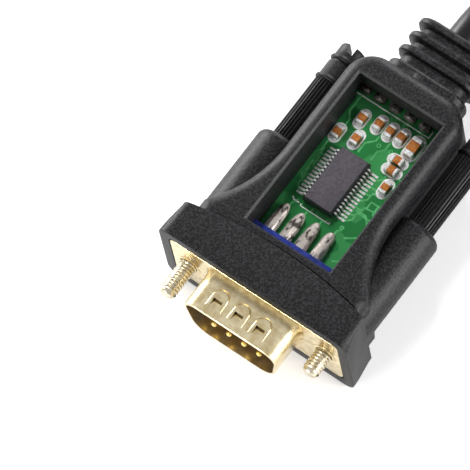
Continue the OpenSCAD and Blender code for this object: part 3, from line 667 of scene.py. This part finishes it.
def make_front_shell():
    outer_w, outer_h = 16.92 + 0.9, 8.36 + 0.9
    shell = d_solid(outer_w, outer_h, -6.2, 0.2, 2.8, 0.18)
    root = [d_solid(outer_w + 2 * s, outer_h + 2 * s, -t, 0.1, 2.8 + s) for s, t in
            [(0.04, 0.8), (0.12, 0.55), (0.24, 0.36), (0.4, 0.21), (0.6, 0.1)]]
    whole = carved(flange(0, 0.5), [shell] + root, "UNION")
    whole = carved(whole, [d_solid(16.92, 8.36, -7, 1.5, 2.4)])
    top = outer_h / 2
    dimples = [(x, top, 1) for x in (-3.9, 0, 3.9)] + [(x, -top, -1) for x in (-1.95, 1.95)]
    whole = carved(whole, [dimple_hollow(*d) for d in dimples])
    piece("plated_front_shell", joined([whole] + [u_dimple(*d) for d in dimples]), "adapter",
          ["dsub_front_shell"], gold_plate, 30)


make_front_shell()
refinish("dsub_rear_shell", gold_plate)


def make_eyelets():
    rings = []
    for x in (-SCREW_X, SCREW_X):
        rings.append(turned([(1.54, -0.02), (1.62, -0.1), (1.9, -0.12), (2.1, -0.05), (2.12, 0.0), (1.86, 0.02),
                             (1.86, 2.0), (2.36, 2.0), (2.36, 2.3), (1.54, 2.3), (1.54, -0.02)], x, 48))
    piece("flange_eyelet_pair", joined(rings), "adapter", ["flange_eyelets"], gold_plate, 40)


make_eyelets()


def make_insulator():
    boss = d_solid(16.82, 8.26, -0.6, 0.6, 2.4, 0.15)
    rim = prism(rectangle_xz(20.4, 11.4, 0.5), (0, 1, 0), 2.0, 8)
    back = d_solid(18.2, 9.6, 1.4, 6.8, 2.6, 0.2)
    tail = block((-8.6, 6.7, -3.1), (8.6, 10.7, 3.1), 0.12)
    bm = carved(boss, [rim, back, tail], "UNION")
    bores = [rod(0.53, -2, 12, x, 1.42, 20) for x in PIN_TOP] + [rod(0.53, -2, 12, x, -1.42, 20) for x in PIN_LOW]
    bm = carved(bm, [joined(bores)])
    piece("blue_insulator", bm, "adapter", ["dsub_insulator"], insulator_pbt, 30)


PIN_TOP = [(i - 2) * 2.77 for i in range(5)]
PIN_LOW = [(i - 1.5) * 2.77 for i in range(4)]
make_insulator()


def contact(x, z, wired):
    """A round-nosed pin, with its solder cup bored into its rear end when it is wired."""
    nose = [(0, -5.5)] + [(0.51 * math.sin(math.radians(a)), -4.99 - 0.51 * math.cos(math.radians(a)))
                          for a in range(15, 91, 15)]
    if not wired:
        return turned(nose + [(0.51, 10.3), (0, 10.3)], x, 24, z)
    return turned(nose + [(0.51, 10.7), (0.58, 10.72), (0.58, 14.5), (0.36, 14.5), (0.36, 11.7), (0, 11.7)],
                  x, 24, z)


piece("upper_contact_row", joined([contact(x, 1.42, x < 5) for x in PIN_TOP]), "adapter", ["upper_pins"],
      gold_contact, 40)
piece("lower_contact_row", joined([contact(x, -1.42, True) for x in PIN_LOW]), "adapter", ["lower_pins"],
      gold_contact, 40)


# The circuit board and what is soldered to it

SMALL_CAPS = [(-4.8, 33.3, 90), (-6.6, 29.45, 90), (-3.56, 30.1, 90), (-2.1, 34, 90), (0, 33.95, 90),
              (1.95, 34.1, 90), (4.75, 26.1, 90), (3.7, 30.7, 0), (3.85, 28.95, 0)]
BIG_CAPS = [(4.4, 33.7, 90)]
PUMP_CAPS = [(-5.6, 17.4, 90), (5.6, 17.4, 90), (-5.8, 31, 90), (5.8, 31, 90)]
CHIP = (-1.65, 22.7)
LOWER_CHIP = (0, 24)

piece("laminate_board", block((-8.35, 11.0, -0.8), (8.35, 38.8, 0.8), 0.06), "adapter", ["pcb"], board_mask, 30)


def stadium(x, y, length, width, turn, level):
    """The closed printed outline round one capacitor."""
    r, straight = width / 2, (length - width) / 2
    points = [(straight + r * math.cos(math.radians(a)), r * math.sin(math.radians(a))) for a in range(-90, 91, 15)]
    points += [(-straight - r * math.cos(math.radians(a)), r * math.sin(math.radians(a))) for a in range(90, -91, -15)]
    c, s = math.cos(math.radians(turn)), math.sin(math.radians(turn))
    return [(x + px * c - py * s, y + px * s + py * c, level) for px, py in points]


def make_legend():
    level = BOARD_TOP
    lines = [tube(stadium(x, y, 3.3, 1.75, t, level), 0.15, 2, True, 0.3) for x, y, t in SMALL_CAPS]
    lines += [tube(stadium(x, y, 4.5, 2.3, t, level), 0.15, 2, True, 0.3) for x, y, t in BIG_CAPS]
    for run in [[(-8.0, 36.4), (5.24, 36.4), (5.24, 37.6)], [(-4.2, 17.15), (-4.2, 16.8), (1.1, 16.8), (1.1, 17.15)],
                [(-6.0, 17.45), (-5.6, 17.1), (-4.6, 17.1)]]:
        lines.append(tube([(x, y, level) for x, y in run], 0.12, 2, False, 0.3))
    piece("printed_outlines", joined(lines), "adapter", [], legend_ink, 40)


make_legend()


def make_tracks():
    """Copper tracks that fan out from the converter chip, seen as ridges under the mask."""
    level = BOARD_TOP
    runs = []
    for i in range(7):
        y = 18.6 + i * 1.3
        reach = 0.7 + 0.35 * (i % 3)
        runs.append([(2.2, y), (2.2 + reach, y), (2.9 + reach, y + 0.7), (2.9 + reach, y + 2.0), (7.4, y + 2.0 + 0.4 * (i % 2))])
    for i in range(6):
        y = 18.9 + i * 1.3
        runs.append([(-5.5, y), (-6.1 - 0.2 * (i % 3), y), (-6.6 - 0.2 * (i % 3), y + 0.6), (-6.6 - 0.2 * (i % 3), y + 2.4)])
    for x in (-5.54, -2.77, 0.0, 2.77):
        runs.append([(x, 15.6), (x, 16.6), (x + 0.5, 17.1), (x + 0.5, 17.6)])
    runs.append([(5.0, 12.2), (6.9, 13.4), (6.9, 20.5), (5.6, 21.8), (5.6, 23.4)])
    runs.append([(4.3, 16.2), (6.0, 17.4), (6.0, 19.8), (4.9, 20.9), (3.2, 20.9)])
    runs.append([(-7.2, 36.5), (-7.2, 33.4), (-6.4, 32.2), (-6.4, 30.8)])
    runs.append([(-1.75, 36.5), (-1.0, 35.6), (-1.0, 31.6), (-2.2, 30.4), (-2.2, 28.6)])
    runs.append([(1.0, 36.5), (1.0, 31.2), (0.2, 30.2), (0.2, 28.6)])
    runs.append([(3.8, 36.5), (6.6, 34.6), (6.6, 27.2), (5.8, 26.4)])
    lines = [tube([(x, y, level) for x, y in run], 0.17, 2, False, 0.2) for run in runs]
    pads = [(-6.9, 21.2), (5.9, 24.9), (1.9, 31.4), (-0.2, 31.2), (6.7, 31.6), (-7.0, 25.6), (3.1, 17.4), (6.2, 14.1)]
    for x, y in pads:
        ring = [(x + 0.28 * math.cos(math.radians(a)), y + 0.28 * math.sin(math.radians(a)), level)
                for a in range(0, 360, 30)]
        lines.append(tube(ring, 0.1, 2, True, 0.3))
    piece("masked_tracks", joined(lines), "adapter", [], mask_over_track, 40)


make_tracks()


def tinned_pad(x, y, half_x, half_y):
    return block((x - half_x, y - half_y, BOARD_TOP - 0.02), (x + half_x, y + half_y, BOARD_TOP + 0.05), 0.03)


def make_pads():
    """The tinned pads that the leads and the capacitors stand on, wider than their feet."""
    pads = [tinned_pad(CHIP[0] + side * 3.75, CHIP[1] + (i - 6.5) * 0.65, 0.68, 0.19)
            for side in (-1, 1) for i in range(14)]
    for (x, y, turn), reach, half in ([(c, 1.08, 0.6) for c in SMALL_CAPS] + [(c, 1.6, 0.85) for c in BIG_CAPS]):
        for side in (-1, 1):
            if turn:
                pads.append(tinned_pad(x, y + side * reach, half, 0.4))
            else:
                pads.append(tinned_pad(x + side * reach, y, 0.4, half))
    piece("tinned_pads", joined(pads), "adapter", [], tin_plate, 40)


make_pads()


def chip_body():
    """A moulded package standing on z = 0, its sides drawn to a waist line."""
    bm = bmesh.new()
    polygon(bm, [(-2.55, -5.0, 0.1), (2.55, -5.0, 0.1), (2.55, 5.0, 0.1), (-2.55, 5.0, 0.1)])
    bm.faces.ensure_lookup_table()
    low = bm.faces[0]
    mid = stretch_face(bm, low, Vector((0, 0, 0.79)))
    bmesh.ops.scale(bm, vec=(5.3 / 5.1, 10.2 / 10.0, 1), verts=mid.verts[:])
    top = stretch_face(bm, mid, Vector((0, 0, 0.96)))
    bmesh.ops.scale(bm, vec=(4.75 / 5.3, 9.65 / 10.2, 1), verts=top.verts[:])
    bmesh.ops.recalc_face_normals(bm, faces=bm.faces[:])
    bmesh.ops.bevel(bm, geom=bm.edges[:], offset=0.1, offset_type="OFFSET", segments=3, profile=0.5,
                    affect="EDGES", material=-1)
    mark = turned([(0, -0.05), (0.42, -0.05), (0.42, 0.2), (0, 0.2)], 0, 32)
    bmesh.ops.rotate(mark, cent=(0, 0, 0), matrix=Matrix.Rotation(math.radians(90), 3, "X"), verts=mark.verts[:])
    bmesh.ops.translate(mark, vec=(-1.65, -4.1, 1.83), verts=mark.verts[:])
    return carved(bm, [mark])


def lead(side, y):
    """One gull-wing lead: out of the waist, down and along its pad."""
    outline = [(2.6, 0.98), (2.93, 0.98), (3.06, 0.93), (3.13, 0.82), (3.24, 0.24), (3.3, 0.17), (3.85, 0.16),
               (3.85, 0.0), (3.22, 0.0), (3.1, 0.06), (3.02, 0.2), (2.92, 0.74), (2.84, 0.81), (2.6, 0.82)]
    bm = bmesh.new()
    face = polygon(bm, [(side * x, y - 0.15, z) for x, z in outline])
    stretch_face(bm, face, Vector((0, 0.3, 0)))
    bmesh.ops.recalc_face_normals(bm, faces=bm.faces[:])
    return bm


def chip_leads():
    return joined([lead(side, (i - 6.5) * 0.65) for side in (-1, 1) for i in range(14)])


def capacitor(length, width, height, x, y, turn):
    """The ceramic body of a chip capacitor and its two tinned ends, as two meshes."""
    share = 0.24 * length
    body = moved(block((-length / 2 + share, -width / 2, 0.03), (length / 2 - share, width / 2, height + 0.03), 0.05), x, y, 0, turn)
    ends = []
    for side in (-1, 1):
        inner, outer = side * (length / 2 - share), side * length / 2
        ends.append(moved(block((min(inner, outer), -width / 2 - 0.03, 0), (max(inner, outer), width / 2 + 0.03, height + 0.05), 0.12, 3),
                          x, y, 0, turn))
    return body, joined(ends)


def on_top(bm, x=0.0, y=0.0):
    return moved(bm, x, y, BOARD_TOP)


def below(bm, x=0.0, y=0.0):
    return moved(mirrored(bm, "Z"), x, y, -BOARD_TOP)


piece("converter_package", on_top(chip_body(), *CHIP), "adapter", ["converter_chip"], chip_epoxy, 30)
piece("converter_gull_wings", on_top(chip_leads(), *CHIP), "adapter", ["converter_chip_leads"], tin_plate, 40)
piece("lower_package", below(chip_body(), *LOWER_CHIP), "adapter", ["level_shifter_chip"], chip_epoxy, 30)
piece("lower_gull_wings", below(chip_leads(), *LOWER_CHIP), "adapter", ["level_shifter_leads"], tin_plate, 40)

capacitors = [capacitor(2.0, 1.2, 0.9, *c) for c in SMALL_CAPS] + [capacitor(3.2, 1.6, 1.1, *c) for c in BIG_CAPS]
piece("capacitor_ceramics", on_top(joined([c[0] for c in capacitors])), "adapter", ["capacitor_bodies"], capacitor_ceramic, 40)
piece("capacitor_terminals", on_top(joined([c[1] for c in capacitors])), "adapter", ["capacitor_ends"], tin_plate, 40)
lower_caps = [capacitor(2.0, 1.2, 0.9, *c) for c in PUMP_CAPS]
piece("pump_capacitor_ceramics", below(joined([c[0] for c in lower_caps])), "adapter", ["pump_capacitor_bodies"], capacitor_ceramic, 40)
piece("pump_capacitor_terminals", below(joined([c[1] for c in lower_caps])), "adapter", ["pump_capacitor_ends"], tin_plate, 40)


def solder_lump(x, y0, y1, level, radius, seed):
    """A lump of solder that wetted a pad: rounded and uneven, and cut flat at the board by its callers."""
    bm = bmesh.new()
    bmesh.ops.create_icosphere(bm, subdivisions=4, radius=1.0)
    half = (y1 - y0) / 2
    for v in bm.verts:
        swell = 1 + 0.16 * noise.noise(v.co * 1.7 + Vector((seed * 7.3, seed * 3.1, 0)))
        swell += 0.07 * noise.noise(v.co * 4.0 + Vector((0, seed * 5.7, seed)))
        long_way = v.co.y
        flank = math.sqrt(1 + min(long_way ** 2, 1))
        taper = 1 - 0.16 * long_way
        v.co = Vector((x + v.co.x * radius * swell * flank * taper, (y0 + y1) / 2 + long_way * half * 0.98,
                       level + v.co.z * radius * swell * flank * taper * 0.95))
    return bm


def make_connector_solder():
    lumps = [solder_lump(x, 9.4, 15.95, 1.42, 1.0, i) for i, x in enumerate(PIN_TOP[:4])]
    lumps += [solder_lump(x, 9.4, 15.95, -1.42, 1.0, i + 5) for i, x in enumerate(PIN_LOW)]
    whole = joined(lumps)
    whole = carved(whole, [block((-9, 11, -BOARD_TOP), (9, 20, BOARD_TOP)), block((-9, 5, -4), (9, 10.72, 4))])
    piece("connector_solder_lumps", whole, "adapter", ["connector_solder"], solder_alloy, 60)


make_connector_solder()

PADS_X = [-7.2 + 2.77 * i for i in range(5)]
WIRE_ENDS = [(-1.5, 1.2), (-1.25, -0.95), (0, 1.6), (0.8, -0.9), (1.5, 0.9)]
WIRE_OVER = [2.7, 1.32, 1.9, 1.4, 2.2]


def make_cable_solder():
    lumps = []
    for i, x in enumerate(PADS_X):
        bm = solder_lump(x, 36.7, 38.7, 1.0, 1.0, i + 11)
        bmesh.ops.bisect_plane(bm, geom=bm.verts[:] + bm.edges[:] + bm.faces[:], plane_co=(0, 0, BOARD_TOP),
                               plane_no=(0, 0, 1), clear_inner=True)
        bmesh.ops.holes_fill(bm, edges=bm.edges[:])
        lumps.append(bm)
    # These lumps take the solder colours darkened with painted shade
    piece("cable_solder_lumps", joined(lumps), "adapter", ["cable_solder"], shade_darkened_solder, 60)


make_cable_solder()


def wire(i):
    """One conductor from its pad, over the board's end and into the jacket."""
    x, (ex, ez), over = PADS_X[i], WIRE_ENDS[i], WIRE_OVER[i]
    route = [(x, 37.5, 1.4), (x, 37.9, 1.42), (x * 0.97 + ex * 0.03, 38.15, 1.52), (x * 0.55 + ex * 0.45, 38.85, over),
             (x * 0.12 + ex * 0.88, 39.55, (ez + over) / 2), (ex, 40.1, ez), (ex, 40.48, ez)]
    return tube(smooth_route(route, 3), 0.44, 4)


for i, (name, paint, slot_name) in enumerate([("conductor_red", wire_red, "wire_red"), ("conductor_white", wire_white, "wire_white"),
                                              ("conductor_green", wire_green, "wire_green"), ("conductor_black", wire_black, "wire_black"),
                                              ("drain_wire", tin_plate, "tin")]):
    piece(name + "_run", wire(i), "adapter", [name], paint, 60)

piece("cable_end_in_relief", rod(2.7, 40.5, 51.6), "adapter", ["cable_entry"], jacket_pvc, 40)


# The thumbscrews


def threaded_rod(x, tip):
    """The jackscrew: a domed tip, a rolled thread up to the hood and the plain shank."""
    pitch, turns, per_turn = 0.52, 11, 40
    bm = bmesh.new()
    ring = [(1.24, -pitch), (1.36, -0.8 * pitch), (1.42, -0.6 * pitch), (1.42, -0.4 * pitch), (1.36, -0.2 * pitch), (1.24, 0)]
    start = [bm.verts.new((r, y, 0)) for r, y in ring]
    edges = [bm.edges.new(pair) for pair in zip(start, start[1:])]
    bmesh.ops.spin(bm, geom=start + edges, cent=(0, 0, 0), axis=(0, 1, 0), dvec=(0, pitch / per_turn, 0),
                   angle=math.tau * turns, steps=per_turn * turns)
    bmesh.ops.translate(bm, vec=(0, 0.95, 0), verts=bm.verts[:])
    core = turned([(0, 0)] + arc((0.72, 0.5), 0.5, -90, -15, 5) + [(1.26, 0.6), (1.27, 6.2), (1.25, 6.4), (1.25, 36), (0, 36)],
                  0, 48)
    bmesh.ops.remove_doubles(bm, verts=bm.verts[:], dist=1e-4)
    bmesh.ops.recalc_face_normals(bm, faces=bm.faces[:])
    return moved(joined([bm, core]), x, tip, 0)


def thumb_grip(x, tip):
    """The moulded grip: ribs along it, two round collars and a slotted head."""
    bm = bmesh.new()
    count = 26
    outline = []
    for i in range(count * 4):
        angle = math.tau * (i + 0.5) / (count * 4)
        r = 2.3 if i % 4 in (0, 1) else 2.02
        outline.append((r * math.cos(angle), 20.5, r * math.sin(angle)))
    start = polygon(bm, outline)
    stretch_face(bm, start, Vector((0, 20.4, 0)))
    bmesh.ops.recalc_face_normals(bm, faces=bm.faces[:])
    head = turned([(0, 40.5), (2.0, 40.5), (2.0, 40.8)] + arc((2.25, 41.35), 0.35, -90, 60, 7)
                  + [(2.3, 41.9), (2.3, 44.2), (2.2, 44.4), (2.0, 44.45), (2.0, 44.75)] + arc((2.15, 45.1), 0.35, -90, 60, 7)
                  + [(2.2, 45.65), (2.2, 47.1)] + arc((1.7, 47.3), 0.5, 10, 90, 6) + [(0, 47.8)], 0, 64)
    slot = block((-0.7, 46.3, -3), (0.7, 49.5, 3))
    whole = carved(head, [slot])
    grip = carved(joined([bm]), [rod(1.27, 19, 36.02)])
    return moved(joined([grip, whole]), x, tip, 0)


for side, x, out in (("left", -SCREW_X, 5.9), ("right", SCREW_X, 4.0)):
    piece(side + "_threaded_rod", threaded_rod(x, -out), side + "_screw", [side + "_jackscrew"], screw_nickel, 35)
    piece(side + "_thumb_grip", thumb_grip(x, -out), side + "_screw", [side + "_grip"], grip_abs, 30)


# The coil's tie and the USB plug

refinish("cable_tie", relief_pvc)
PLUG = (19.81, 69.06, 6.86)


def at_plug(bm):
    """Lays a mesh that runs along +Y from the cable's end across the coil."""
    return moved(bm, *PLUG, turn=45)


def make_boot():
    profile = [(0, 0), (3.0, 0.0), (3.35, 0.25)]
    for i in range(4):
        r, y = 3.7 + 0.12 * i, 1.2 + 2.4 * i
        profile += [(3.3, y - 0.15), (r - 0.15, y), (r, y + 0.25), (r, y + 1.15), (r - 0.15, y + 1.4), (3.25, y + 1.55)]
    profile += [(3.15, 11.0), (0, 11.0)]
    piece("ribbed_plug_boot", at_plug(turned(profile)), "adapter", ["usb_boot"], relief_pvc, 40)


def make_usb_grip():
    section = prism(rectangle_xz(15.8, 8.2, 11), (0, 22, 0), 2.0, 8, 0.5)
    plan = [(-4.9, 10, -5), (4.9, 10, -5), (4.9, 11, -5), (7.9, 17, -5), (7.9, 34, -5), (-7.9, 34, -5), (-7.9, 17, -5), (-4.9, 11, -5)]
    bm = carved(section, [prism(plan, (0, 0, 10))], "INTERSECT")
    bm = carved(bm, [block((-6.02, 25, -2.27), (6.02, 34, 2.27))])
    piece("usb_plug_grip", at_plug(bm), "adapter", ["usb_grip"], usb_pvc, 30)


def make_usb_shell():
    outer = prism(rectangle_xz(12.0, 4.5, 25), (0, 20, 0), 0.6, 5, 0.1)
    inner = prism(rectangle_xz(11.4, 3.9, 25.4), (0, 21, 0), 0.35, 4)
    holes = [block((x - 1.1, 38.7, z - 0.6), (x + 1.1, 40.9, z + 0.6), 0.15) for x in (-2.9, 2.9) for z in (-2.25, 2.25)]
    seam = block((-0.04, 24, -2.5), (0.04, 46, -2.0))
    piece("usb_plug_shell", at_plug(carved(outer, [inner, joined(holes), seam])), "adapter", ["usb_shell"], usb_nickel, 30)


make_boot()
make_usb_grip()
make_usb_shell()
refinish("usb_tongue", carrier_pbt)
refinish("usb_contacts", gold_contact)


# The studio


def direct_view(tree):
    """One where the camera, a reflection or glass looks at the surface, and zero elsewhere."""
    rays = add(tree, "ShaderNodeLightPath")
    seen = add(tree, "ShaderNodeMath", {"operation": "MAXIMUM"}, _0=rays.outputs["Is Camera Ray"],
               _1=rays.outputs["Is Glossy Ray"])
    return add(tree, "ShaderNodeMath", {"operation": "MAXIMUM"}, _0=seen.outputs[0],
               _1=rays.outputs["Is Transmission Ray"]).outputs[0]


def white_table():
    """A matt white sweep, which the camera and the metal see as white and which keeps shadows."""
    material, tree, shader = surface("white_sweep", "#e8e8e8", 0.9)
    glow = add(tree, "ShaderNodeEmission", {"Strength": 0.42})
    both = add(tree, "ShaderNodeAddShader", _0=shader.outputs["BSDF"], _1=glow.outputs["Emission"])
    mix = add(tree, "ShaderNodeMixShader", Fac=direct_view(tree), _1=shader.outputs["BSDF"], _2=both.outputs["Shader"])
    tree.links.new(mix.outputs["Shader"], tree.nodes["Material Output"].inputs["Surface"])
    bm = bmesh.new()
    bmesh.ops.create_grid(bm, x_segments=1, y_segments=1, size=3.0)
    bmesh.ops.translate(bm, vec=(0, 0, TABLE_Z * MM - 0.00005), verts=bm.verts[:])
    mesh = bpy.data.meshes.new("white_table")
    bm.to_mesh(mesh)
    bm.free()
    mesh.materials.append(material)
    table = bpy.data.objects.new("white_table", mesh)
    bpy.context.collection.objects.link(table)


def lamp(name, place, size, power, mirrored_in_gloss=True):
    """A square soft box that faces the adapter, and that glossy faces mirror or not."""
    data = bpy.data.lights.new(name, "AREA")
    data.shape = "SQUARE"
    data.size = size
    data.energy = power
    made = bpy.data.objects.new(name, data)
    bpy.context.collection.objects.link(made)
    made.location = place
    made.visible_glossy = mirrored_in_gloss
    made.rotation_euler = (Vector((0, 0.02, 0)) - Vector(place)).to_track_quat("-Z", "Y").to_euler()


def studio():
    white_table()
    world = bpy.data.worlds.new("white_room")
    world.use_nodes = True
    tree = world.node_tree
    back = tree.nodes["Background"]
    back.inputs["Color"].default_value = (1, 1, 1, 1)
    strength = add(tree, "ShaderNodeMath", {"operation": "MULTIPLY_ADD"}, _0=direct_view(tree))
    strength.inputs[1].default_value, strength.inputs[2].default_value = 0.55, 0.17
    tree.links.new(strength.outputs[0], back.inputs["Strength"])
    bpy.context.scene.world = world
    lamp("key_soft_box", (-0.38, 0.47, 0.66), 0.26, 5.5, False)
    lamp("left_low_box", (-0.72, 0.19, 0.17), 0.42, 8)
    lamp("right_low_box", (0.7, 0.21, 0.26), 0.42, 7.5)
    lamp("front_low_box", (-0.2, -0.68, 0.22), 0.25, 3.2)
    lamp("back_low_box", (-0.22, 0.75, 0.2), 0.25, 2.4)
    bpy.context.scene.view_settings.view_transform = "Standard"


studio()
